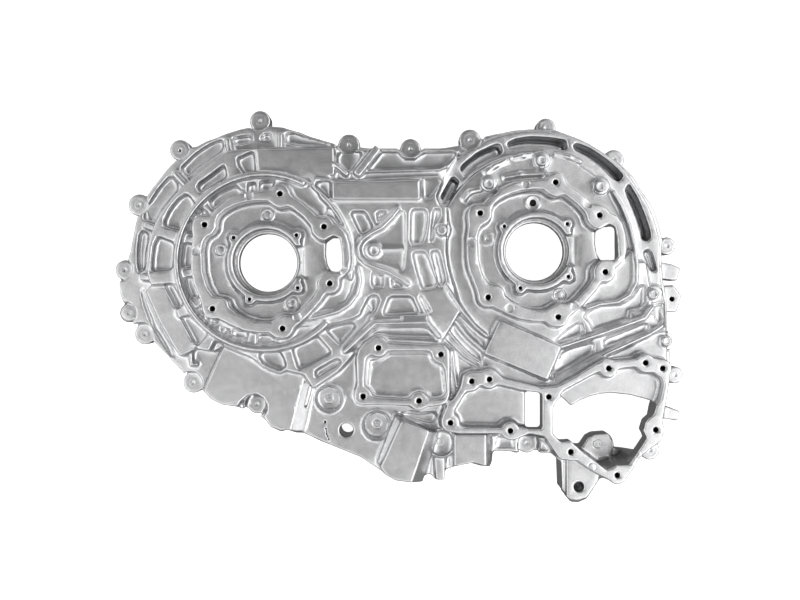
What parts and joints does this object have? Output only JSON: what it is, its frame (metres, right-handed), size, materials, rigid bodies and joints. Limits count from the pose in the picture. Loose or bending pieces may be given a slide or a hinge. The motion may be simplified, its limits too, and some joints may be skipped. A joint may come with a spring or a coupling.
{
  "type": "motor end cover",
  "caption": "Die-cast aluminium end cover of a twin-motor drive, with two flanged motor seats, bearing bores, ribs, cover faces and bolt bosses round a flat mating face.",
  "frame": {"origin": "centre of the bounding box, on the flat mating face that the casting lies on", "axes": "+X along the line of the two motor seats, +Y across the cover, +Z out of the ribbed outer side"},
  "size_m": [0.6022, 0.4122, 0.09],
  "materials": {
    "cast_aluminium": "bright as-cast aluminium with machined flanges"
  },
  "bodies": {
    "root": {"end_cover": "cast_aluminium"}
  },
  "joints": []
}
